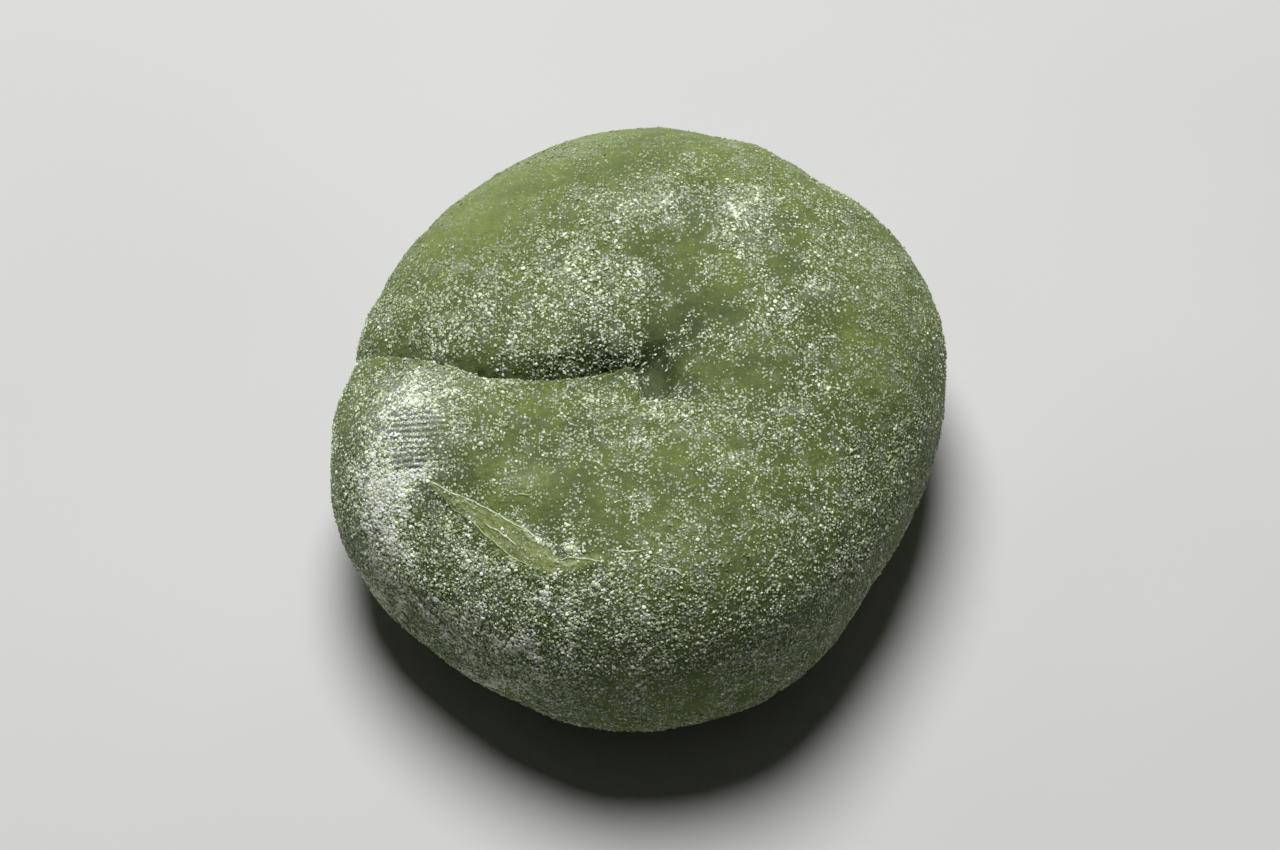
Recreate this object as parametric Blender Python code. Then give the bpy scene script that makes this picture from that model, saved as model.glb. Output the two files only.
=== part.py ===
"""A soft rice cake: one round, slightly oval cake of dough with a flat underside.

The cake is a ball of fine quads. Each point is first drawn out to a rounded, sagging
body, then pressed in along the folds where the dough was gathered, and the underside is
cut flat. Metres, +Z up, with the origin under the middle of the cake, on the ground.
"""

import math

import bmesh
import bpy
from mathutils import Vector

# The body
MEAN_RADIUS = 0.0299  # seen from above, before the outline's waves
BELT_HEIGHT = 0.0120  # where the cake is widest
TOP_RISE = 0.0176  # from the belt to the top
UNDER_DROP = 0.0144  # from the belt to the lowest point, before the flat is cut
ROUNDNESS = 2.5  # 2 is an ellipse, more is squarer at the shoulder
GRID = 24  # quads along each side of the starting cube
RIM_MERGE = 0.0004  # points of the flat's rim this near each other become one

# The outline's waves: count round the cake, height, and angle of the first crest
OUTLINE_WAVES = (
    (2, 0.00150, math.radians(58)),
    (3, 0.00030, math.radians(20)),
    (4, 0.00050, math.radians(14)),
    (6, 0.00025, math.radians(30)),
)

# Rounded hills and hollows seen from above: x, y, height and radius
HILLS = (
    (-0.0020, 0.0010, -0.0015, 0.0110),  # the wide hollow where the dough was gathered
    (0.0008, -0.0018, -0.0016, 0.0042),  # the pit at its right
    (-0.0235, -0.0070, 0.0011, 0.0075),  # the near left lobe
    (0.0150, 0.0050, 0.0006, 0.0090),  # the right lobe
    (-0.0080, 0.0140, 0.0004, 0.0080),  # the far lobe
    (0.0040, -0.0150, 0.0005, 0.0090),  # the near side
)

# Folds pressed into the top: x, y, depth, width to the left and width to the right,
# looking along the fold. The crease runs from the pit to the left side, with a steep
# lip in front of it, and the furrow runs from the pit to the back.
CREASE = (
    (0.0020, -0.0020, 0.0018, 0.0024, 0.0050),
    (-0.0050, -0.0042, 0.0026, 0.0024, 0.0048),
    (-0.0120, -0.0040, 0.0021, 0.0024, 0.0044),
    (-0.0190, -0.0016, 0.0013, 0.0022, 0.0036),
    (-0.0250, 0.0016, 0.0009, 0.0020, 0.0026),
    (-0.0320, 0.0050, 0.0006, 0.0018, 0.0020),
)
FURROW = (
    (0.0020, 0.0010, 0.0010, 0.0032, 0.0032),
    (0.0040, 0.0080, 0.0009, 0.0032, 0.0032),
    (0.0062, 0.0160, 0.0006, 0.0030, 0.0030),
    (0.0075, 0.0230, 0.0002, 0.0028, 0.0028),
)
STEPS_PER_SPAN = 12  # places read along a fold between two of its points
FADE_START = 0.45  # of the belt's height: below it nothing is pressed in

DOUGH_COLOUR = (0.205, 0.262, 0.098, 1.0)
DOUGH_ROUGHNESS = 0.6


def clear_scene():
    for old in list(bpy.data.objects):
        bpy.data.objects.remove(old, do_unlink=True)


def new_collection(name):
    collection = bpy.data.collections.new(name)
    bpy.context.scene.collection.children.link(collection)
    return collection


def plain_material(name, colour, roughness, metallic):
    material = bpy.data.materials.new(name)
    material.use_nodes = True
    shader = material.node_tree.nodes["Principled BSDF"]
    shader.inputs["Base Color"].default_value = colour
    shader.inputs["Roughness"].default_value = roughness
    shader.inputs["Metallic"].default_value = metallic
    return material


def outline_radius(angle):
    """The body's radius at the belt, in a direction seen from above."""
    radius = MEAN_RADIUS
    for count, height, crest in OUTLINE_WAVES:
        radius += height * math.cos(count * (angle - crest))
    return radius


def body_point(direction):
    """The point of the smooth body that a unit direction from its middle leads to."""
    level = math.hypot(direction.x, direction.y)
    width = outline_radius(math.atan2(direction.y, direction.x))
    height = TOP_RISE if direction.z > 0 else UNDER_DROP
    reach = (level**ROUNDNESS + abs(direction.z) ** ROUNDNESS) ** (-1 / ROUNDNESS)
    x = direction.x * reach * width
    y = direction.y * reach * width
    z = BELT_HEIGHT + direction.z * reach * height
    return Vector((x, y, z))


def smooth_step(share):
    share = min(max(share, 0.0), 1.0)
    return share * share * (3 - 2 * share)


def fold_path(fold):
    """Places close together along a smooth curve through a fold's points.

    Each is a spot, the fold's direction there, and its depth and two widths.
    """
    spots = [Vector(row[:2]) for row in fold]
    sizes = [Vector(row[2:]) for row in fold]
    last = len(fold) - 1
    path = []
    for span in range(last):
        start = spots[span]
        end = spots[span + 1]
        leave = (end - spots[max(span - 1, 0)]) / 2
        arrive = (spots[min(span + 2, last)] - start) / 2
        for step in range(STEPS_PER_SPAN):
            t = step / STEPS_PER_SPAN
            spot = start.lerp(end, smooth_step(t))
            spot += leave * (t * (1 - t) ** 2) - arrive * (t * t * (1 - t))
            along = (end - start).normalized()
            path.append((spot, along, sizes[span].lerp(sizes[span + 1], t)))
    return path


def fold_depth(spot, path):
    """How deep a fold is at a spot, falling off differently to its left and right."""
    place, along, size = min(path, key=lambda row: (spot - row[0]).length_squared)
    depth, left_width, right_width = size
    offset = spot - place
    is_left = along.x * offset.y - along.y * offset.x > 0
    width = left_width if is_left else right_width
    return depth * math.exp(-offset.length_squared / width**2)


def relief(spot, folds):
    """How far the surface stands out at a spot seen from above; a hollow is negative."""
    out = -sum(fold_depth(spot, path) for path in folds)
    for x, y, height, radius in HILLS:
        distance = math.hypot(spot.x - x, spot.y - y)
        out += height * math.exp(-((distance / radius) ** 2))
    return out


def upper_share(height):
    """1 on the upper half, falling smoothly to 0 below the belt."""
    return smooth_step((height / BELT_HEIGHT - FADE_START) / (1 - FADE_START))


def cut_flat(bm):
    """Cuts the underside off at the ground and closes it with one flat face."""
    everything = bm.verts[:] + bm.edges[:] + bm.faces[:]
    bmesh.ops.bisect_plane(
        bm, geom=everything, plane_co=(0, 0, 0), plane_no=(0, 0, 1), clear_inner=True
    )
    rim_points = [vert for vert in bm.verts if vert.is_boundary]
    bmesh.ops.remove_doubles(bm, verts=rim_points, dist=RIM_MERGE)
    rim = [edge for edge in bm.edges if edge.is_boundary]
    for edge in rim:
        for vert in edge.verts:
            vert.co.z = 0.0
    bmesh.ops.holes_fill(bm, edges=rim, sides=len(rim))
    bmesh.ops.recalc_face_normals(bm, faces=bm.faces)


def centre_on_origin(bm):
    """Moves the cake so that the middle of its box is over the origin."""
    xs = [vert.co.x for vert in bm.verts]
    ys = [vert.co.y for vert in bm.verts]
    middle = Vector((min(xs) + max(xs), min(ys) + max(ys), 0)) / 2
    bmesh.ops.translate(bm, verts=bm.verts, vec=-middle)


def make_mochi(collection):
    bm = bmesh.new()
    bmesh.ops.create_cube(bm, size=2)
    bmesh.ops.subdivide_edges(bm, edges=bm.edges, cuts=GRID - 1, use_grid_fill=True)
    for vert in bm.verts:
        # The tangent evens out the quads of a cube blown up to a ball.
        even = Vector([math.tan(part * math.pi / 4) for part in vert.co])
        vert.co = body_point(even.normalized())
    bm.normal_update()

    folds = [fold_path(CREASE), fold_path(FURROW)]
    moves = []
    for vert in bm.verts:
        out = relief(vert.co.xy, folds) * upper_share(vert.co.z)
        moves.append(vert.normal * out)
    for vert, move in zip(bm.verts, moves):
        vert.co += move
    cut_flat(bm)
    centre_on_origin(bm)

    mesh = bpy.data.meshes.new("mochi")
    bm.to_mesh(mesh)
    bm.free()
    mesh.shade_smooth()
    mesh.materials.append(plain_material("dough", DOUGH_COLOUR, DOUGH_ROUGHNESS, 0.0))
    mochi = bpy.data.objects.new("mochi", mesh)
    collection.objects.link(mochi)


clear_scene()
make_mochi(new_collection("mochi_rice_cake"))
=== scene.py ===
import math

import bmesh
import bpy
import numpy as np
from mathutils import Matrix, Vector, noise
from mathutils.bvhtree import BVHTree


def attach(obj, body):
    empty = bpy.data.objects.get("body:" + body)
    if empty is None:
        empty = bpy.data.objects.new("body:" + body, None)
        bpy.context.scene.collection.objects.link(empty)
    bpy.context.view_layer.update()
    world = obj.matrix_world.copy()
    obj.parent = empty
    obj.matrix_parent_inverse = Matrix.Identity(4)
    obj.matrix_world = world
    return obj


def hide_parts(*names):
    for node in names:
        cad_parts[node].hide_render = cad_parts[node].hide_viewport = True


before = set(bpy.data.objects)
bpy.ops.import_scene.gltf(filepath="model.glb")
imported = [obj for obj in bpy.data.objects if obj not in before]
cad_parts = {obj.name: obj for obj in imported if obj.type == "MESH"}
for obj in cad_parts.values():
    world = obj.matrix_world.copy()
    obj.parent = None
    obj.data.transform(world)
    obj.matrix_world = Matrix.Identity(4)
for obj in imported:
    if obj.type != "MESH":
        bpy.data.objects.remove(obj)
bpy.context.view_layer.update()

# A soft green rice cake, dusted with potato starch. Metres, +Z up, the cake's flat spot on the ground.
mm = 0.001


# Small helpers: every place and size in the dictionaries below is in millimetres, seen from above.

def ease(share):
    share = np.clip(share, 0.0, 1.0)
    return share * share * (3 - 2 * share)


def between(value, start, end):
    # 0 up to the start and 1 from the end, soft in between; the start may be the larger one.
    return ease((value - start) / (end - start))


def bell(distance, width):
    return np.exp(-(distance / width) ** 2)


def lumps(spots, size, seed):
    # Soft noise between about -1 and 1, with bumps of one size in mm.
    shift = Vector((seed * 7.3, seed * 3.1, seed * 5.7))
    return np.array([noise.noise(Vector(spot) / size + shift) for spot in spots]) * 1.6


def allLumps(spots, rows):
    # Each row is a size, a height and a seed.
    return sum(height * lumps(spots, size, seed) for size, height, seed in rows)


def ovalShare(spots, oval):
    # 1 in the middle of an oval patch, falling softly to 0 outside it.
    x, y, long, short, turn = oval
    across = spots[:, 0] - x
    up = spots[:, 1] - y
    cosTurn = math.cos(math.radians(turn))
    sinTurn = math.sin(math.radians(turn))
    along = (across * cosTurn + up * sinTurn) / long
    side = (up * cosTurn - across * sinTurn) / short
    return np.exp(-(along ** 2 + side ** 2))


def ovalMarks(spots, rows):
    # Each row is an oval patch and its strength.
    return sum(row[5] * ovalShare(spots, row[:5]) for row in rows)


def smoothLine(points, steps=8):
    # A curve through a fold's few points; each row keeps its extra numbers.
    rows = np.array(points, float)
    ends = np.vstack([2 * rows[0] - rows[1], rows, 2 * rows[-1] - rows[-2]])
    line = []
    for i in range(1, len(ends) - 2):
        a, b, c, d = ends[i - 1:i + 3]
        for t in np.arange(steps) / steps:
            bend = (2 * a - 5 * b + 4 * c - d) * t ** 2 + (3 * b - a - 3 * c + d) * t ** 3
            line.append(b + ((c - a) * t + bend) / 2)
    line.append(rows[-1])
    return np.array(line)


def nearLine(spots, line):
    # For each spot: its signed distance from the line (left is positive), the share of the
    # way along it, and the line's extra numbers there.
    best = np.full(len(spots), np.inf)
    signed = np.zeros(len(spots))
    share = np.zeros(len(spots))
    extra = np.zeros((len(spots), line.shape[1] - 2))
    last = len(line) - 1
    for i in range(last):
        start, end = line[i], line[i + 1]
        run = end[:2] - start[:2]
        away = spots[:, :2] - start[:2]
        t = np.clip(away @ run / (run @ run), 0, 1)
        off = away - t[:, None] * run
        distance = np.hypot(off[:, 0], off[:, 1])
        closer = distance < best
        side = np.where(run[0] * away[:, 1] - run[1] * away[:, 0] > 0, 1.0, -1.0)
        best[closer] = distance[closer]
        signed[closer] = (distance * side)[closer]
        share[closer] = ((i + t) / last)[closer]
        extra[closer] = (start[2:] + t[:, None] * (end[2:] - start[2:]))[closer]
    return signed, share, extra


# The dough's skin: a ball of quads cast out onto the frame's cake, then rounded and refined.

dough = {
    "quads": 25,  # along each side of the starting cube
    "heart": (0.0, 0.0, 11.0),  # the quads are cast out from here
    "rounds": 2,  # levels of subdivision
    "lumps": ((7.0, 0.20, 1), (2.8, 0.085, 2), (1.1, 0.034, 3)),  # size, height, seed
    "mounds": (  # x, y, long and short radius, turn, height
        (-10.0, 13.5, 9.0, 5.0, 10, 0.35),
        (-4.0, -10.5, 12.0, 4.4, -4, -0.75),  # in front of the crease
        (8.5, -7.5, 5.5, 6.5, 0, -0.60),
        (0.8, 0.6, 4.2, 3.4, 0, 1.30),  # moves the pit towards the near side
        (9.0, 24.0, 5.0, 4.0, 0, 0.50),  # fills the furrow out at the back
        (9.0, -22.5, 11.0, 6.5, 12, 1.90),
        (-7.0, -24.0, 8.0, 5.0, -12, 1.10),
        (-23.5, -11.5, 5.0, 6.0, 0, 0.40),
    ),
    "plainBelow": (0.8, 5.0),  # no lumps under the first height, all above the second
    "fineAbove": 6.0,  # the quads are split only above this height
}

# The crease where the gathered dough was pinched shut, from the pit's right end round to the left
# side: x, y, depth, reach of the far wall, how the far side bulges above it, how far the lip in
# front is filled up, and how wide the lip's steep face is.
crease = {
    "points": (
        (4.4, -5.4, 0.05, 2.4, 0.00, 0.00, 2.60),
        (2.8, -4.9, 0.45, 2.4, 0.00, 0.00, 2.60),
        (1.2, -4.1, 1.20, 2.2, 0.25, 0.00, 2.40),
        (-0.2, -3.6, 2.80, 1.9, 0.60, 1.60, 0.36),
        (-2.6, -3.1, 3.40, 1.8, 0.75, 1.20, 0.26),
        (-5.0, -3.2, 2.95, 1.7, 0.70, 0.90, 0.26),
        (-8.5, -3.8, 2.50, 1.5, 0.60, 0.80, 0.26),
        (-13.0, -3.5, 1.85, 1.2, 0.45, 0.50, 0.26),
        (-18.6, -1.6, 1.15, 0.8, 0.25, 0.30, 0.26),
        (-24.6, 1.4, 0.55, 0.7, 0.10, 0.15, 0.26),
        (-30.0, 5.5, 0.12, 0.7, 0.00, 0.04, 0.26),
    ),
    "bulge": (3.2, 2.2),  # how far behind the crease, and its width
    "lip": 1.6,  # reach of the lip
    "pit": (1.6, -2.5, 1.3, 3.4, 4, -1.30),  # x, y, long and short radius, turn, height
    "ragged": ((1.6, 0.20, 41), (0.6, 0.12, 42)),  # how the edge wanders: size, reach, seed
    "held": 0.36,  # share of the way along it over which the pit still takes the lip down
    "split": 1.6,  # quads this near are split once, and twice within the next reach
    "splitTwice": 0.7,
    "dampAndShade": (  # damp dough and painted shade in the pit, behind it and at its right: x, y, radii, turn, strength
        (1.7, -2.8, 1.5, 3.6, 6, 1.00),
        (-2.8, 0.0, 4.6, 2.8, 0, 0.75),
        (4.6, 1.0, 3.0, 5.0, -8, 0.80),
    ),
    "dampShadeWall": 1.6,  # how far the damp dough and its painted shade go up the far wall
    "dampShadeLip": (0.2, 2.4),  # how far it goes up the lip, along the crease and at its right end
}

# The furrow that runs from the pit to the back.
furrow = {
    "points": ((2.6, 1.2, 0.20), (4.2, 7.0, 0.14), (6.0, 14.0, 0.10), (7.4, 20.5, 0.03)),
    "widths": (2.6, 2.6),
}

# The tongue: a strip of bare dough dragged aside. x, y and half its width.
tongue = {
    "points": (
        (-20.2, -13.7, 0.12),
        (-17.0, -16.1, 0.50),
        (-14.5, -18.1, 0.85),
        (-11.7, -20.4, 1.30),
        (-9.4, -22.2, 1.15),
        (-7.2, -23.1, 0.62),
        (-3.6, -22.7, 0.25),
    ),
    "proud": 0.10,  # how far it stands out
    "edge": 0.07,  # height of the thin ridge round it
    "edgeWidth": 0.13,
    "streaks": 0.022,  # height of the streaks along it
    "streakGap": 0.55,
    "ragged": ((1.3, 0.12, 43), (0.5, 0.05, 44)),  # how its edge wanders: size, reach, seed
    "wavy": ((1.6, 0.25, 45),),  # how its streaks wander
    "split": 1.8,  # quads this near are split
    # rubbed patches beside it: x, y, long and short radius, turn, strength
    "rubbed": ((-10.8, -14.8, 3.2, 1.8, 0, 0.40), (4.0, -22.6, 8.0, 2.8, 6, 0.32)),
}

# Where a thumb pressed the starch down: fine ridges on the near left lobe.
press = {
    "ovals": ((-20.8, -8.8, 3.2, 1.9, -8, 1.6), (-21.4, -11.9, 2.8, 0.7, -4, 1.6)),
    "rim": 0.3,  # taken off the ovals, so that they end
    "middle": -20.0,  # the x that the arch is centred on
    "gap": 0.57,  # from ridge to ridge
    "height": 0.07,
    "tilt": 0.10,
    "arch": -0.006,
    "wander": 0.05,
    "starch": 0.45,  # how much more lies on a ridge, and less in a groove
}


def acrossCrease(spots):
    # Distance from the crease, with the lip's side positive, and the crease's numbers there.
    signed, share, extra = nearLine(spots, smoothLine(crease["points"]))
    return signed + allLumps(spots, crease["ragged"]) * between(extra[:, 0], 0, 0.6), share, extra


def creaseMove(spots):
    signed, share, extra = acrossCrease(spots)
    depth, reach, bulge, fill, cliff = extra.T
    behind, wide = crease["bulge"]
    farWall = bulge * bell(signed + behind, wide) - depth * np.exp(-np.abs(signed) / reach)
    foot = bulge * bell(behind, wide) - depth
    edge = bell(signed, cliff)
    lip = fill * bell(signed, crease["lip"]) + (foot - fill) * edge
    ends = between(share, 0, 0.06) * between(share, 1, 0.93)
    pit = ovalMarks(spots, [crease["pit"]])
    held = np.where(signed > 0, between(share, 0, crease["held"]) * (1 - edge), 0)
    return np.where(signed > 0, lip, farWall) * ends + pit * (1 - held)


def foldMove(spots, fold):
    signed, share, extra = nearLine(spots, smoothLine(fold["points"]))
    left, right = fold["widths"]
    return -extra[:, 0] * bell(signed, np.where(signed > 0, left, right))


def acrossTongue(spots):
    signed, share, extra = nearLine(spots, smoothLine(tongue["points"]))
    return signed + allLumps(spots, tongue["ragged"]), share, extra[:, 0]


def tongueStreaks(spots):
    signed = acrossTongue(spots)[0] + allLumps(spots, tongue["wavy"])
    return np.cos(signed * 2 * math.pi / tongue["streakGap"])


def tongueMove(spots):
    signed, share, width = acrossTongue(spots)
    inside = between(np.abs(signed) / width, 1.15, 0.85)
    ends = between(share, 0, 0.05) * between(share, 1, 0.9)
    edge = tongue["edge"] * bell(np.abs(signed) - width, tongue["edgeWidth"]) * ends
    return inside * (tongue["proud"] + tongue["streaks"] * tongueStreaks(spots)) + edge


def pressShare(spots):
    return np.clip(ovalMarks(spots, press["ovals"]) - press["rim"], 0, 1)


def pressWave(spots):
    across = spots[:, 0] - press["middle"]
    run = spots[:, 1] + press["tilt"] * across + press["arch"] * across ** 2
    sway = np.sin(across * 1.3 + spots[:, 1]) + np.sin(spots[:, 1] * 1.7)
    turns = (run + press["wander"] * sway) / press["gap"]
    return pressShare(spots) * np.sin(turns * 2 * math.pi)


def meshOf(shape, name):
    mesh = bpy.data.meshes.new(name)
    shape.to_mesh(mesh)
    shape.free()
    return mesh


def castBall():
    # The frame's mesh is loose triangles, so a merged copy is what the rays meet.
    solid = bmesh.new()
    solid.from_mesh(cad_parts["mochi"].data)
    bmesh.ops.remove_doubles(solid, verts=solid.verts, dist=1e-6)
    target = BVHTree.FromBMesh(solid)
    solid.free()

    ball = bmesh.new()
    bmesh.ops.create_cube(ball, size=2)
    bmesh.ops.subdivide_edges(ball, edges=ball.edges, cuts=dough["quads"] - 1, use_grid_fill=True)
    heart = Vector(dough["heart"]) * mm
    for vert in ball.verts:
        way = Vector([math.tan(part * math.pi / 4) for part in vert.co])  # evens the quads out
        vert.co = target.ray_cast(heart, way.normalized())[0]
    bmesh.ops.recalc_face_normals(ball, faces=ball.faces)
    return ball


def rounded(ball):
    mesh = meshOf(ball, "ball")
    holder = bpy.data.objects.new("ball", mesh)
    bpy.context.scene.collection.objects.link(holder)
    smoother = holder.modifiers.new("rounded", "SUBSURF")
    smoother.levels = smoother.render_levels = dough["rounds"]
    graph = bpy.context.evaluated_depsgraph_get()
    finer = bmesh.new()
    finer.from_object(holder, graph)
    bpy.data.objects.remove(holder, do_unlink=True)
    bpy.data.meshes.remove(mesh)
    return finer


def refine(skin, isNear, cuts):
    # Splits the quads where a fine feature lies.
    spots = np.array([vert.co for vert in skin.verts]) / mm
    wanted = isNear(spots) & (spots[:, 2] > dough["fineAbove"])
    edges = [edge for edge in skin.edges if all(wanted[vert.index] for vert in edge.verts)]
    bmesh.ops.subdivide_edges(skin, edges=edges, cuts=cuts, use_grid_fill=True)
    skin.verts.index_update()


def nearCurve(points, reach):
    line = smoothLine([point[:2] for point in points])
    return lambda spots: np.abs(nearLine(spots, line)[0]) < reach


def makeSkin():
    skin = rounded(castBall())
    skin.verts.index_update()
    refine(skin, nearCurve(crease["points"], crease["split"]), 1)
    refine(skin, nearCurve(crease["points"][2:-1], crease["splitTwice"]), 1)  # not at its ends
    refine(skin, lambda spots: pressShare(spots) > 0.05, 2)
    refine(skin, nearCurve(tongue["points"], tongue["split"]), 2)
    many = [face for face in skin.faces if len(face.verts) > 4]
    bmesh.ops.triangulate(skin, faces=many)
    skin.normal_update()

    spots = np.array([vert.co for vert in skin.verts]) / mm
    normals = np.array([vert.normal for vert in skin.verts])
    move = allLumps(spots, dough["lumps"]) + ovalMarks(spots, dough["mounds"])
    top = between(normals[:, 2], -0.2, 0.3)  # the folds stay off the underside
    move += top * (creaseMove(spots) + foldMove(spots, furrow))
    move += top * (tongueMove(spots) + press["height"] * pressWave(spots))
    move *= between(spots[:, 2], *dough["plainBelow"])
    places = (spots + normals * move[:, None]) * mm
    for vert, place in zip(skin.verts, places):
        vert.co = place
    bmesh.ops.recalc_face_normals(skin, faces=skin.faces)
    mesh = meshOf(skin, "mochiSkin")
    mesh.shade_smooth()
    return mesh


# Where the starch lies: x, y, long and short radius, turn, and how much more or less.
starch = {
    "even": 0.34,
    "bareWall": 0.50,  # less at the foot of the crease's far wall
    "bareTongue": 0.17,  # less on the tongue
    "tongueRidge": 0.36,  # more along its upper edge
    "underThin": 0.12,  # less on the underside
    "most": 1.25,
    "patches": (
        (0.7, 15.1, 6.0, 3.0, 0, 0.28),
        (10.2, 14.0, 2.8, 4.4, 20, 0.30),
        (12.6, 2.0, 3.2, 2.8, -30, 0.12),
        (16.6, 9.4, 3.2, 0.9, 24, 0.26),
        (16.3, 5.8, 1.2, 1.2, 0, 0.30),
        (20.0, -14.0, 5.0, 6.0, 0, 0.10),
        (-8.0, 24.0, 5.0, 2.2, 20, 0.30),
        (9.3, -8.3, 3.4, 1.8, -30, 0.14),
        (13.5, -8.0, 2.4, 2.4, 0, 0.20),
        (-2.9, -11.6, 4.6, 3.2, 0, 0.18),
        (5.2, -10.4, 3.6, 2.4, 0, 0.14),
        (-6.4, -21.6, 1.1, 0.5, -10, 0.48),
        (-6.0, 3.4, 7.6, 4.6, 10, 0.26),
        (-16.0, 6.0, 6.0, 4.4, 30, 0.12),
        (-21.5, -5.5, 4.2, 3.0, 0, 0.26),
        (-21.2, -9.0, 4.2, 4.0, 0, 0.34),
        (-25.0, -12.6, 3.4, 5.2, 20, 0.38),
        (-23.3, -17.2, 5.0, 5.2, 0, 0.26),
        (-16.7, -23.7, 6.0, 4.2, -35, 0.34),
        (-21.0, -12.9, 3.2, 0.8, 4, 0.50),
        (-5.3, -27.6, 8.0, 3.2, 0, 0.40),
        (9.0, -26.0, 8.0, 2.6, 15, 0.10),
        (-9.4, -20.6, 2.2, 0.9, -35, 0.32),
    ),
    "bare": (
        (4.2, 3.6, 2.2, 4.4, -12, 0.22),
        (1.7, -2.0, 0.9, 3.2, 4, 0.24),
        (6.0, -4.6, 4.4, 4.0, 0, 0.16),
        (13.4, 8.2, 3.0, 0.8, 15, 0.24),
        (4.6, 12.6, 1.6, 5.4, -12, 0.28),
        (14.0, 12.0, 1.8, 2.4, 0, 0.14),
        (-9.5, -12.5, 6.8, 4.2, 0, 0.20),
        (-4.0, -17.0, 6.0, 3.2, 0, 0.10),
        (-2.0, 18.6, 3.2, 2.2, 0, 0.18),
        (-14.0, 17.0, 8.0, 6.0, 40, 0.16),
        (0.0, 26.0, 16.0, 5.0, 0, 0.10),
        (6.4, 3.6, 3.4, 2.6, 30, 0.12),
        (12.0, -13.0, 5.0, 5.0, 0, 0.12),
        (1.2, -31.0, 9.0, 3.0, 0, 0.10),
    ),
    # where it has soaked in: fewer grains, and dull ones
    "soaked": (
        (-2.0, 28.5, 30.0, 8.0, 0, 1.0),
        (-16.0, 16.0, 9.0, 6.5, 40, 0.9),
        (24.0, 6.0, 5.0, 14.0, 0, 0.5),
    ),
    # where it is pressed into a film
    "film": (
        (-21.5, -6.6, 4.0, 4.6, 0, 0.30),
        (-22.4, -13.4, 3.2, 1.6, 0, 0.30),
        (-25.2, -12.0, 2.2, 4.5, 16, 0.12),
        (0.7, 15.1, 5.0, 2.4, 0, 0.12),
        (10.2, 14.0, 2.2, 3.4, 20, 0.12),
    ),
    "grit": ((5.0, 0.12, 11), (2.0, 0.15, 12), (0.9, 0.14, 13)),  # size, height, seed
    # the haze of powder too fine to see as grains: everywhere, in thick starch, in smears, at most
    "haze": (0.02, 0.24, 0.14, 0.80),
    "smears": (1.5, 14),  # size, seed
}


def facingUp(normals):
    # 0 on the underside, so that what lies on top doesn't come out again below.
    return between(normals[:, 2], -0.45, -0.05)


def onTongue(signed, width):
    return between(np.abs(signed) / width, 1.2, 0.8)


def starchAt(spots, normals):
    marks = ovalMarks(spots, starch["patches"]) - ovalMarks(spots, starch["bare"])
    # The foot of the crease's far wall is bare, except near the crease's ends.
    signed, share, extra = acrossCrease(spots)
    wall = bell(signed + 0.40, 0.75) * between(signed, 0.3, 0)
    wall *= between(share, 0.15, 0.35) * between(share, 1, 0.7)
    marks += press["starch"] * pressWave(spots) - starch["bareWall"] * wall
    # The tongue is rubbed; its upper edge caught a ridge of starch.
    signed, share, width = acrossTongue(spots)
    ridge = bell(signed - width - 0.15, 0.28) * between(share, 0.35, 0.5) * between(share, 0.8, 0.7)
    marks += starch["tongueRidge"] * ridge - starch["bareTongue"] * onTongue(signed, width)
    amount = starch["even"] + marks * facingUp(normals) + allLumps(spots, starch["grit"])
    # Little starch clings to the underside's edge, and the flat spot is pressed thin.
    amount -= starch["underThin"] * between(-normals[:, 2], 0.3, 0.9)
    return np.clip(amount, 0, starch["most"])


def hazeAt(spots, amount, normals):
    # The haze thins out down the sides, and lies in small smears and in a pressed film.
    everywhere, inThick, inSmears, most = starch["haze"]
    thick = between(amount, 0.45, 1.15) * (0.12 + 0.88 * between(normals[:, 2], 0, 0.8))
    smears = between(lumps(spots, *starch["smears"]), 0.25, 0.75) * between(amount, 0.1, 0.4)
    film = ovalMarks(spots, starch["film"]) * facingUp(normals)
    return np.clip(everywhere + inThick * thick + inSmears * smears + film, 0, most)


def soakedAt(spots):
    return np.clip(ovalMarks(spots, starch["soaked"]), 0, 1)


def dampAndShadeAt(spots):
    # 1 at the foot of the crease and in the pit, where the dough is damp and dark with painted shade.
    signed, share, extra = acrossCrease(spots)
    least, most = crease["dampShadeLip"]
    fade = least + (most - least) * between(share, 0.3, 0)
    foot = bell(np.minimum(signed, 0), crease["dampShadeWall"]) * between(share, 1, 0.75)
    foot *= 1 - ease((signed - least) / fade)
    return np.clip(foot + ovalMarks(spots, crease["dampAndShade"]), 0, 1)


def rubbedAt(spots):
    # 1 where the dough was rubbed bare and shows yellower.
    signed, share, width = acrossTongue(spots)
    strength = 0.62 + 0.20 * tongueStreaks(spots) + 0.20 * between(share, 0.4, 0.7)
    strip = onTongue(signed, width) * strength
    return np.clip(strip + ovalMarks(spots, tongue["rubbed"]), 0, 1)


def setAttribute(mesh, name, values):
    layer = mesh.attributes.new(name, "FLOAT", "POINT")
    layer.data.foreach_set("value", values.astype(np.float32))


def listOf(rows, name, kind, count):
    # Reads one value or vector from every row of a mesh's list.
    flat = np.empty(len(rows) * count, kind)
    rows.foreach_get(name, flat)
    return flat.reshape(-1, count)


# Node helpers.

def feed(tree, socket, value):
    # Links an output to the socket, or sets a plain value on it.
    if isinstance(value, bpy.types.NodeSocket):
        tree.links.new(value, socket)
    else:
        socket.default_value = value


def addNode(tree, kind, inputs=None, **settings):
    node = tree.nodes.new(kind)
    for name, value in settings.items():
        setattr(node, name, value)
    for name, value in (inputs or {}).items():
        feed(tree, node.inputs[name], value)
    return node


def blendColours(tree, share, low, high):
    node = addNode(tree, "ShaderNodeMix", data_type="RGBA")
    for index, value in ((0, share), (6, low), (7, high)):  # a colour mix's own inputs
        feed(tree, node.inputs[index], value)
    return node.outputs[2]


def mathNode(tree, operation, *values):
    node = addNode(tree, "ShaderNodeMath", operation=operation)
    for socket, value in zip(node.inputs, values):
        feed(tree, socket, value)
    return node.outputs[0]


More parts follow.
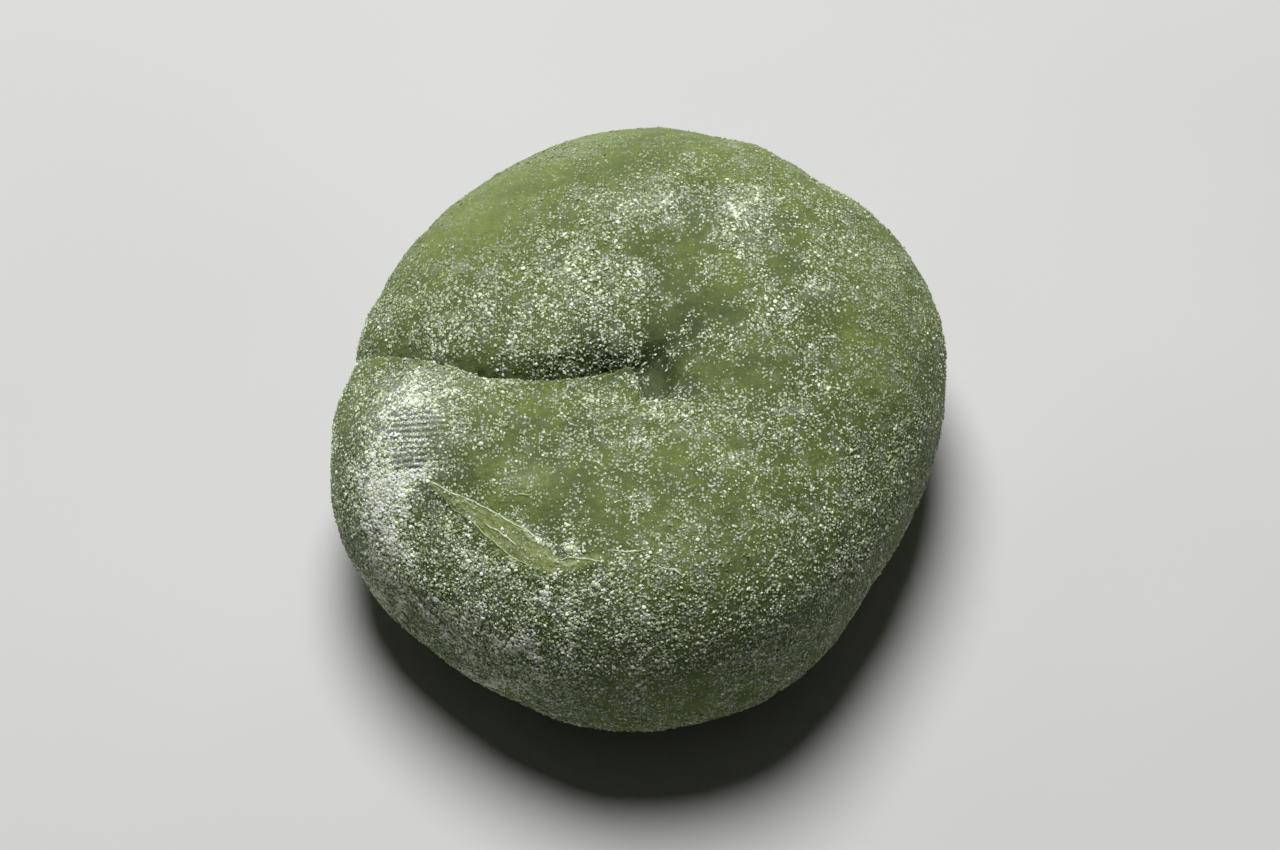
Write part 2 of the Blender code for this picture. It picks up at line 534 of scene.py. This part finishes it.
def rangeNode(tree, value, low, high, toLow=0.0, toHigh=1.0):
    node = addNode(tree, "ShaderNodeMapRange", {
        "Value": value, "From Min": low, "From Max": high, "To Min": toLow, "To Max": toHigh,
    }, interpolation_type="SMOOTHSTEP")
    return node.outputs["Result"]


def makeMottle():
    # Soft blotches between 0 and 1, which every mottled material takes at its own size.
    group = bpy.data.node_groups.new("mottle", "ShaderNodeTree")
    group.interface.new_socket("Place", in_out="INPUT", socket_type="NodeSocketVector")
    for name in ("Scale", "Detail", "Rough", "Low", "High"):
        group.interface.new_socket(name, in_out="INPUT", socket_type="NodeSocketFloat")
    group.interface.new_socket("Share", in_out="OUTPUT", socket_type="NodeSocketFloat")
    given = addNode(group, "NodeGroupInput").outputs
    clouds = addNode(group, "ShaderNodeTexNoise", {
        "Vector": given["Place"], "Scale": given["Scale"],
        "Detail": given["Detail"], "Roughness": given["Rough"],
    })
    share = rangeNode(group, clouds.outputs["Fac"], given["Low"], given["High"])
    addNode(group, "NodeGroupOutput", {"Share": share})
    return group


mottle = makeMottle()


def mottleNode(tree, place, size, low, high, detail=2.0, rough=0.5):
    # size is the width of a blotch in mm
    return addNode(tree, "ShaderNodeGroup", node_tree=mottle, inputs={
        "Place": place, "Scale": 1 / (size * mm), "Detail": detail, "Rough": rough,
        "Low": low, "High": high,
    }).outputs["Share"]


def newMaterial(name):
    material = bpy.data.materials.new(name)
    material.use_nodes = True
    tree = material.node_tree
    place = addNode(tree, "ShaderNodeTexCoord").outputs["Object"]
    return material, tree, tree.nodes["Principled BSDF"], place


def attributeNode(tree, name):
    return addNode(tree, "ShaderNodeAttribute", attribute_name=name).outputs["Fac"]


def speckNode(tree, place, amount, size):
    # Dots about half a cell wide, in as many of the cells as there is starch for.
    cells = addNode(tree, "ShaderNodeTexVoronoi", {"Vector": place, "Scale": 1 / (size * mm)})
    chance = addNode(tree, "ShaderNodeSeparateColor", {"Color": cells.outputs["Color"]}).outputs["Red"]
    spare = mathNode(tree, "SUBTRACT", amount, chance)
    present = rangeNode(tree, spare, 0.0, doughLook["speckFade"])
    dot = rangeNode(tree, cells.outputs["Distance"], *doughLook["speckEdge"])
    return mathNode(tree, "MULTIPLY", present, dot)


doughLook = {
    "moss": (0.140, 0.190, 0.040, 1.0),
    "deep": (0.084, 0.129, 0.032, 1.0),
    "yellow": (0.202, 0.244, 0.050, 1.0),
    "rubbed": (0.370, 0.420, 0.170, 1.0),
    # dark damp dough with painted shade, for the crease's foot and the pit
    "dampAndShade": (0.048, 0.074, 0.026, 1.0),
    "soaked": (0.280, 0.320, 0.130, 1.0),
    "pore": (0.070, 0.100, 0.028, 1.0),
    "veil": (0.550, 0.590, 0.490, 1.0),
    "haze": (0.455, 0.490, 0.500, 1.0),
    # blotches: width, where they start and end in the noise, then detail and roughness
    "broad": (9.0, 0.36, 0.66),
    "fine": (2.4, 0.40, 0.68, 3.0),
    "crumb": (0.75, 0.35, 0.65, 3.0, 0.8),
    # how strongly each colour shows
    "yellowShare": 0.45,
    "shadeUnderStarchShare": 0.65,  # painted shade between the grains of thick starch
    "soakedShare": 0.36,
    # how dark the crease's painted shade and damp dough are
    "dampAndShadeShare": 0.88,
    "poreShare": (0.55, 0.25),  # on fresh dough and where it has soaked in
    "veilShare": (0.75, 0.35),
    "specks": (0.24, 0.36),  # cells of the veil's dots
    "speckEdge": (0.50, 0.32),  # of a cell: where a dot begins, and where it is full
    "speckFade": 0.16,  # how softly the dots come with more starch
    "relief": (0.5, -0.7, 0.7),  # how high the fine blotches, the crumbs and the dots stand
    "bump": 0.08,
    "roughDough": 0.60,
    "roughStarch": 0.90,
    "shine": 0.12,
    "scatter": 0.75,
    "scatterRadius": (1.0, 0.75, 0.35),
    "scatterScale": 0.0016,
}


def doughMaterial():
    look = doughLook
    material, tree, shader, place = newMaterial("mochiDough")
    amount, rubbed, dampAndShade, soaked, haze = (
        attributeNode(tree, name) for name in ("starch", "rubbed", "dampAndShade", "soaked", "haze"))
    broad = mottleNode(tree, place, *look["broad"])
    fine = mottleNode(tree, place, *look["fine"])
    crumb = mottleNode(tree, place, *look["crumb"])
    pores = mathNode(tree, "MULTIPLY", crumb, rangeNode(tree, soaked, 0.0, 1.0, *look["poreShare"]))
    colour = blendColours(tree, broad, look["deep"], look["moss"])
    # From the dough's own colours, with painted shade in the crease and under thick starch, to what
    # lies on it: each covers the ones before.
    for share, name in (
        (mathNode(tree, "MULTIPLY", fine, look["yellowShare"]), "yellow"),
        (rubbed, "rubbed"),
        # Painted shade: the dough darkens to its deep green between the grains of thick starch.
        (rangeNode(tree, amount, 0.3, 1.0, 0.0, look["shadeUnderStarchShare"]), "deep"),
        (mathNode(tree, "MULTIPLY", soaked, look["soakedShare"]), "soaked"),
        # Painted shade at the crease's foot and in the pit, with the damp dough there.
        (mathNode(tree, "MULTIPLY", dampAndShade, look["dampAndShadeShare"]), "dampAndShade"),
        (pores, "pore"),
        (haze, "haze"),
    ):
        colour = blendColours(tree, share, colour, look[name])
    # The veil: starch too fine for grains of its own. It thickens where there is more of it.
    small, large = (speckNode(tree, place, amount, size) for size in look["specks"])
    dots = mathNode(tree, "MAXIMUM", small, large)
    veil = mathNode(tree, "MULTIPLY", dots, rangeNode(tree, soaked, 0.0, 1.0, *look["veilShare"]))
    colour = blendColours(tree, veil, colour, look["veil"])
    rough = rangeNode(tree, veil, 0.0, 0.7, look["roughDough"], look["roughStarch"])
    # Blotches and dots stand up a little, crumbs sink.
    fineUp, crumbUp, dotUp = look["relief"]
    height = mathNode(tree, "MULTIPLY", fine, fineUp)
    height = mathNode(tree, "ADD", height, mathNode(tree, "MULTIPLY", crumb, crumbUp))
    height = mathNode(tree, "ADD", height, mathNode(tree, "MULTIPLY", dots, dotUp))
    bump = addNode(tree, "ShaderNodeBump", {"Height": height, "Distance": look["bump"] * mm})
    feed(tree, shader.inputs["Base Color"], colour)
    feed(tree, shader.inputs["Roughness"], rough)
    feed(tree, shader.inputs["Normal"], bump.outputs["Normal"])
    feed(tree, shader.inputs["Subsurface Weight"], look["scatter"])
    feed(tree, shader.inputs["Subsurface Radius"], look["scatterRadius"])
    feed(tree, shader.inputs["Subsurface Scale"], look["scatterScale"])
    feed(tree, shader.inputs["Specular IOR Level"], look["shine"])
    return material


def newPiece(name, mesh, materials):
    piece = bpy.data.objects.new(name, mesh)
    bpy.context.scene.collection.objects.link(piece)
    for material in materials:
        mesh.materials.append(material)
    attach(piece, "root")
    print(name, sum(len(face.vertices) - 2 for face in mesh.polygons), "triangles")
    return piece


skinMesh = makeSkin()
skinSpots = listOf(skinMesh.vertices, "co", np.float32, 3).astype(float) / mm
skinNormals = listOf(skinMesh.vertex_normals, "vector", np.float32, 3).astype(float)
skinUp = facingUp(skinNormals)
skinStarch = starchAt(skinSpots, skinNormals)
skinPressed = pressShare(skinSpots) * skinUp
skinSoaked = soakedAt(skinSpots) * skinUp
# Painted shade at the crease's foot and in the pit, with the damp dough there; the dough's material
# darkens these.
skinDampAndShade = dampAndShadeAt(skinSpots) * skinUp
setAttribute(skinMesh, "starch", skinStarch)
setAttribute(skinMesh, "haze", hazeAt(skinSpots, skinStarch, skinNormals))
setAttribute(skinMesh, "rubbed", rubbedAt(skinSpots) * skinUp)
setAttribute(skinMesh, "dampAndShade", skinDampAndShade)
setAttribute(skinMesh, "soaked", skinSoaked)
skin = newPiece("mochi_skin", skinMesh, [doughMaterial()])
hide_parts("mochi")


# Starch grains, scattered over the skin and sunk part of the way into it.

grains = {
    # how many, width, how much of it is sunk, how strongly it keeps to the thick starch, how much
    # starch has none, and the shares that the thumb took off and that soaked in
    "fine": {"count": 24500, "size": (0.14, 0.23), "sunk": (0.2, 0.6), "favour": 1.0, "clear": 0.02,
             "pressedOff": 0.2, "soakedOff": 0.35, "seed": 21},
    "middle": {"count": 24500, "size": (0.19, 0.30), "sunk": (0.1, 0.5), "favour": 1.3, "clear": 0.08,
               "pressedOff": 0.7, "soakedOff": 0.65, "seed": 24},
    "coarse": {"count": 16000, "size": (0.25, 0.38), "sunk": (0.0, 0.4), "favour": 1.6, "clear": 0.14,
               "pressedOff": 0.97, "soakedOff": 0.86, "seed": 22},
    "clump": {"count": 2200, "size": (0.34, 0.50), "sunk": (0.2, 0.5), "favour": 2.0, "clear": 0.24,
              "pressedOff": 1.0, "soakedOff": 1.0, "seed": 23},
    "lowest": 0.25,  # none this near the ground
    "flat": 0.5,  # height for its width
    "stretch": (0.75, 1.25),
    "lean": 0.35,  # how far they tip from lying flat
    "mostSmall": 1.6,  # above 1, small ones outnumber large ones
    "worms": (0.8, 61, 0.24, 0.9),  # thin strokes of powder: size, seed, thickness, strength
    "blots": (1.9, 62, 0.6),  # patches of powder: size, seed, strength
    "everywhere": 0.22,
    "tries": 3,  # places looked at for each grain
    "whiter": 0.48,  # where it is thick
    # whiter where the dough is damp and painted dark as shade
    "whiterInDampShade": 0.16,
    "duller": 0.60,  # where it has soaked in
    "tones": (
        ("starchWhite", (0.86, 0.89, 0.84, 1.0), 0.04),
        ("starchBright", (0.86, 0.91, 0.68, 1.0), 0.18),
        ("starchSoft", (0.52, 0.59, 0.38, 1.0), 0.38),
        ("starchDamp", (0.30, 0.37, 0.18, 1.0), 0.40),
    ),
    "rough": 0.55,
    "shine": 0.3,
}


def starchMaterials():
    # Plain tones: a grain is too small for a pattern, and the grains differ from each other.
    made = []
    for name, colour, share in grains["tones"]:
        material = bpy.data.materials.new(name)
        material.use_nodes = True
        shader = material.node_tree.nodes["Principled BSDF"]
        shader.inputs["Base Color"].default_value = colour
        shader.inputs["Roughness"].default_value = grains["rough"]
        shader.inputs["Specular IOR Level"].default_value = grains["shine"]
        made.append(material)
    return made


def grainShape(isClump):
    shape = bmesh.new()
    if isClump:
        bmesh.ops.create_icosphere(shape, subdivisions=1, radius=0.5)
    else:
        bmesh.ops.create_uvsphere(shape, u_segments=4, v_segments=2, radius=0.5)
    bmesh.ops.triangulate(shape, faces=shape.faces)
    bmesh.ops.recalc_face_normals(shape, faces=shape.faces)
    corners = np.array([vert.co for vert in shape.verts])
    faces = np.array([[vert.index for vert in face.verts] for face in shape.faces])
    shape.free()
    return corners, faces


def leaningFrames(random, normals, lean):
    # Three axes for each grain, the last one near the skin's normal.
    def unit(rows):
        return rows / np.linalg.norm(rows, axis=1)[:, None]

    up = unit(normals + lean * random.normal(size=normals.shape))
    side = unit(np.cross(up, random.normal(size=normals.shape)))
    return np.stack([side, np.cross(up, side), up], 1)


def powderAt(places):
    # Starch gathers in thin strokes and small blots, with barer dough between them.
    size, seed, thick, strength = grains["worms"]
    worms = strength * bell(lumps(places, size, seed), thick)
    size, seed, strength = grains["blots"]
    return grains["everywhere"] + worms + strength * between(lumps(places, size, seed), -0.4, 0.6)


def pickPlaces(random, kind):
    # Skin triangles and shares of their corners, more of them where there is more starch.
    faces = listOf(skinMesh.loop_triangles, "vertices", np.int32, 3)
    a, b, c = (skinSpots[faces[:, i]] for i in range(3))
    area = np.linalg.norm(np.cross(b - a, c - a), axis=1) / 2
    amount = np.clip(skinStarch[faces].mean(1) - kind["clear"], 0, None)
    left = 1 - kind["pressedOff"] * skinPressed[faces].mean(1)
    left *= 1 - kind["soakedOff"] * skinSoaked[faces].mean(1)
    weight = area * amount ** kind["favour"] * left * (a[:, 2] > grains["lowest"])
    tried = grains["tries"] * kind["count"]
    picked = np.searchsorted(np.cumsum(weight) / weight.sum(), random.random(tried))
    u, v = random.random((2, tried))
    turned = u + v > 1
    u, v = np.where(turned, 1 - u, u), np.where(turned, 1 - v, v)
    return faces[picked], np.stack([1 - u - v, u, v], 1)


def scatterGrains(name, kind, materials):
    random = np.random.default_rng(kind["seed"])
    count = kind["count"]
    corners, shares = pickPlaces(random, kind)

    def onGrains(values):
        # A value of the skin's points, read at each grain.
        return (values[corners] * shares).sum(1)

    # Too many places, of which the ones in the powder's strokes and blots are kept.
    places = (skinSpots[corners] * shares[:, :, None]).sum(1)
    powder = powderAt(places) + between(onGrains(skinStarch), 0.6, 1)
    kept = np.argsort(-np.log(random.random(len(places))) / powder)[:count]
    places, corners, shares = places[kept], corners[kept], shares[kept]
    normals = (skinNormals[corners] * shares[:, :, None]).sum(1)

    shape, shapeFaces = grainShape(name == "starch_clumps")
    low, high = kind["size"]
    size = low + (high - low) * random.random(count) ** grains["mostSmall"]
    stretch = random.uniform(*grains["stretch"], (count, 1, 3)) * (1, 1, grains["flat"])
    sunk = random.uniform(*kind["sunk"], count)
    places += normals * (size * grains["flat"] * (0.5 - sunk))[:, None]
    axes = leaningFrames(random, normals, grains["lean"])
    points = (shape[None] * stretch * size[:, None, None]) @ axes + places[:, None]
    faces = shapeFaces[None] + (np.arange(count) * len(shape))[:, None, None]
    mesh = bpy.data.meshes.new(name)
    mesh.from_pydata((points.reshape(-1, 3) * mm).tolist(), [], faces.reshape(-1, 3).tolist())
    newPiece(name, mesh, materials)

    # Thick starch keeps its white; a thin dusting takes up the green below it. Grains stay whiter on
    # the crease's damp dough with its painted shade.
    order = random.random(count) - grains["whiter"] * between(onGrains(skinStarch), 0.55, 1)
    order += grains["duller"] * onGrains(skinSoaked) - grains["whiterInDampShade"] * onGrains(skinDampAndShade)
    steps = np.cumsum([tone[2] for tone in grains["tones"]])
    tones = np.searchsorted(steps, np.clip(order, 0, 1)).clip(0, len(steps) - 1)
    mesh.polygons.foreach_set("material_index", np.repeat(tones, len(shapeFaces)).astype(np.int32))
    mesh.update()


skinMesh.calc_loop_triangles()
starchTones = starchMaterials()
scatterGrains("starch_fine", grains["fine"], starchTones)
scatterGrains("starch_middle", grains["middle"], starchTones)
scatterGrains("starch_coarse", grains["coarse"], starchTones)
scatterGrains("starch_clumps", grains["clump"], starchTones)


# Threads of dough and starch, drawn out where it was rubbed: x and y along each, seen from above.
threads = {
    "pale": (
        ((-20.2, -13.6), (-17.0, -15.5), (-15.4, -16.5)),
        ((-16.2, -15.9), (-14.0, -17.3), (-12.2, -18.6), (-10.6, -19.6), (-8.8, -21.1)),
        ((-14.6, -18.3), (-12.9, -19.6), (-11.3, -21.0)),
        ((-8.0, -22.6), (-5.8, -22.7), (-3.5, -23.2)),
        ((-2.8, -22.3), (-1.0, -22.4), (0.7, -22.3)),
        ((1.5, -23.7), (3.1, -24.1), (4.1, -24.5)),
    ),
    "yellow": (
        ((-17.6, -16.3), (-15.2, -18.5), (-12.7, -21.1), (-10.6, -22.7), (-9.6, -23.2)),
        ((-11.4, -16.3), (-10.0, -16.5)),
    ),
    "thick": 0.16,
    "proud": 0.00,
    "wander": ((1.4, 0.12, 51), (0.5, 0.06, 52)),  # size, reach, seed
    "steps": 10,  # points between two of its places
    # light and dark colour, size of a blotch, roughness
    "paleLook": ((0.68, 0.74, 0.54, 1.0), (0.34, 0.40, 0.20, 1.0), 0.6, 0.8),
    "yellowLook": ((0.40, 0.44, 0.16, 1.0), (0.20, 0.25, 0.07, 1.0), 0.7, 0.6),
}


def onSkin(x, y):
    return skinTree.ray_cast(Vector((x, y, 40)) * mm, Vector((0, 0, -1)))


def makeThreads(name, lines, material):
    data = bpy.data.curves.new(name, "CURVE")
    data.dimensions = "3D"
    data.bevel_depth = threads["thick"] * mm
    data.bevel_resolution = 1
    data.use_fill_caps = True
    for line in lines:
        path = smoothLine(line, threads["steps"])
        sway = allLumps(np.c_[path, path[:, :1] * 0], threads["wander"])
        spline = data.splines.new("POLY")
        spline.points.add(len(path) - 1)
        for i, (x, y) in enumerate(path):
            place, up, _, _ = onSkin(x, y + sway[i])
            spline.points[i].co = (*(place + up * threads["proud"] * mm), 1)
            along = i / (len(path) - 1)
            thin = 0.7 + 0.3 * noise.noise(Vector((x, y, 7.7)) * 1.5)
            spline.points[i].radius = (0.2 + 0.8 * math.sin(math.pi * along) ** 0.6) * thin
    holder = bpy.data.objects.new(name + "Line", data)
    bpy.context.scene.collection.objects.link(holder)
    graph = bpy.context.evaluated_depsgraph_get()
    mesh = bpy.data.meshes.new_from_object(holder.evaluated_get(graph))
    bpy.data.objects.remove(holder, do_unlink=True)
    shape = bmesh.new()
    shape.from_mesh(mesh)
    bmesh.ops.remove_doubles(shape, verts=shape.verts, dist=1e-7)
    bmesh.ops.recalc_face_normals(shape, faces=shape.faces)
    shape.to_mesh(mesh)
    shape.free()
    mesh.shade_smooth()
    newPiece(name, mesh, [material])


def mottledMaterial(name, light, dark, size, rough):
    material, tree, shader, place = newMaterial(name)
    share = mottleNode(tree, place, size, 0.35, 0.65, 3.0, 0.7)
    feed(tree, shader.inputs["Base Color"], blendColours(tree, share, dark, light))
    feed(tree, shader.inputs["Roughness"], rangeNode(tree, share, 0.0, 1.0, rough - 0.1, rough))
    return material


skinTree = BVHTree.FromPolygons([tuple(spot * mm) for spot in skinSpots],
                                [tuple(face.vertices) for face in skinMesh.polygons])
paleThread = mottledMaterial("threadPale", *threads["paleLook"])
yellowThread = mottledMaterial("threadYellow", *threads["yellowLook"])
makeThreads("dough_threads_pale", threads["pale"], paleThread)
makeThreads("dough_threads_yellow", threads["yellow"], yellowThread)


# Flecks of mugwort leaf in the dough: x, y, length and turn of the ones at set places.
flecks = {
    "placed": ((14.3, -5.15, 1.1, -16), (10.4, -11.5, 0.45, 30), (-13.0, -1.4, 0.4, 50)),
    "strewn": 15,
    "lengths": (0.25, 0.50),
    "width": 0.17,
    "upward": 0.4,  # above 0, more of them lie on the top
    "seed": 31,
    "look": ((0.050, 0.070, 0.026, 1.0), (0.022, 0.034, 0.012, 1.0), 0.2, 0.6),
}


def addFleck(shape, place, up, length, turn):
    lie = up.to_track_quat("Z", "Y").to_matrix() @ Matrix.Rotation(turn, 3, "Z")
    size = Matrix.Diagonal((length, flecks["width"], flecks["width"])) * mm
    spot = Matrix.Translation(place) @ (lie @ size).to_4x4()
    bmesh.ops.create_icosphere(shape, subdivisions=1, radius=0.5, matrix=spot)


def makeFlecks():
    shape = bmesh.new()
    for x, y, length, turn in flecks["placed"]:
        place, up, _, _ = onSkin(x, y)
        addFleck(shape, place, up, length, math.radians(turn))
    random = np.random.default_rng(flecks["seed"])
    heart = Vector(dough["heart"]) * mm
    for _ in range(flecks["strewn"]):
        way = Vector(random.normal(size=3) + (0, 0, flecks["upward"])).normalized()
        place, up, _, _ = skinTree.ray_cast(heart, way)
        addFleck(shape, place, up, random.uniform(*flecks["lengths"]), random.uniform(0, math.pi))
    bmesh.ops.recalc_face_normals(shape, faces=shape.faces)
    mesh = meshOf(shape, "mugwort_flecks")
    newPiece("mugwort_flecks", mesh, [mottledMaterial("mugwortLeaf", *flecks["look"])])


makeFlecks()


# Floor, light and camera.

studio = {
    "floor": (0.54, 0.545, 0.535, 1.0),
    "floorShade": (0.5184, 0.5232, 0.5136, 1.0),
    "floorCloud": 60.0,  # width of the floor's faint clouds
    "floorRough": 0.7,
    "floorHalf": 1.5,  # metres
    "world": (1.0, 0.99, 0.96, 1.0),
    "worldPower": 0.03,
    "keyPower": 6.75,
    "keySize": 0.36,
    "keyAway": 0.7,
    "keyHigh": 67.0,  # degrees above the ground
    "keyLeft": 11.0,  # degrees to the left of straight behind
    "keyAim": (0.0, 0.0, 14.0),
    "cameraHigh": 60.0,  # degrees above the ground
    "cameraAway": 0.42,
    "aim": (0.0, -1.3, 14.0),
    "frameWidth": 124.0,  # how much the view takes in from side to side, at the aim
    "sensor": 36.0,
}


def makeFloor():
    shape = bmesh.new()
    bmesh.ops.create_grid(shape, x_segments=8, y_segments=8, size=studio["floorHalf"])
    mesh = meshOf(shape, "floor")
    floor = bpy.data.objects.new("floor", mesh)
    bpy.context.scene.collection.objects.link(floor)
    material, tree, shader, place = newMaterial("paleFloor")
    cloud = mottleNode(tree, place, studio["floorCloud"], 0.3, 0.7)
    colour = blendColours(tree, cloud, studio["floor"], studio["floorShade"])
    feed(tree, shader.inputs["Base Color"], colour)
    feed(tree, shader.inputs["Roughness"], studio["floorRough"])
    mesh.materials.append(material)


def makeLight():
    world = bpy.data.worlds.new("studio")
    world.use_nodes = True
    background = world.node_tree.nodes["Background"]
    background.inputs["Color"].default_value = studio["world"]
    background.inputs["Strength"].default_value = studio["worldPower"]
    bpy.context.scene.world = world
    data = bpy.data.lights.new("key", "AREA")
    data.shape = "DISK"
    data.size = studio["keySize"]
    data.energy = studio["keyPower"]
    key = bpy.data.objects.new("key", data)
    bpy.context.scene.collection.objects.link(key)
    high = math.radians(studio["keyHigh"])
    left = math.radians(studio["keyLeft"])
    level = math.cos(high)
    away = Vector((-math.sin(left) * level, math.cos(left) * level, math.sin(high)))
    key.location = Vector(studio["keyAim"]) * mm + away * studio["keyAway"]
    key.rotation_euler = away.to_track_quat("Z", "Y").to_euler()


def makeCamera():
    data = bpy.data.cameras.new("camera")
    camera = bpy.data.objects.new("camera", data)
    bpy.context.scene.collection.objects.link(camera)
    high = math.radians(studio["cameraHigh"])
    back = Vector((0, -math.cos(high), math.sin(high)))
    camera.location = Vector(studio["aim"]) * mm + back * studio["cameraAway"]
    camera.rotation_euler = back.to_track_quat("Z", "Y").to_euler()
    data.sensor_width = studio["sensor"]
    data.lens = studio["sensor"] * studio["cameraAway"] / (studio["frameWidth"] * mm)
    data.clip_start = 0.01
    bpy.context.scene.camera = camera


makeFloor()
makeLight()
makeCamera()
bpy.context.scene.view_settings.view_transform = "Standard"
print("studio ready")
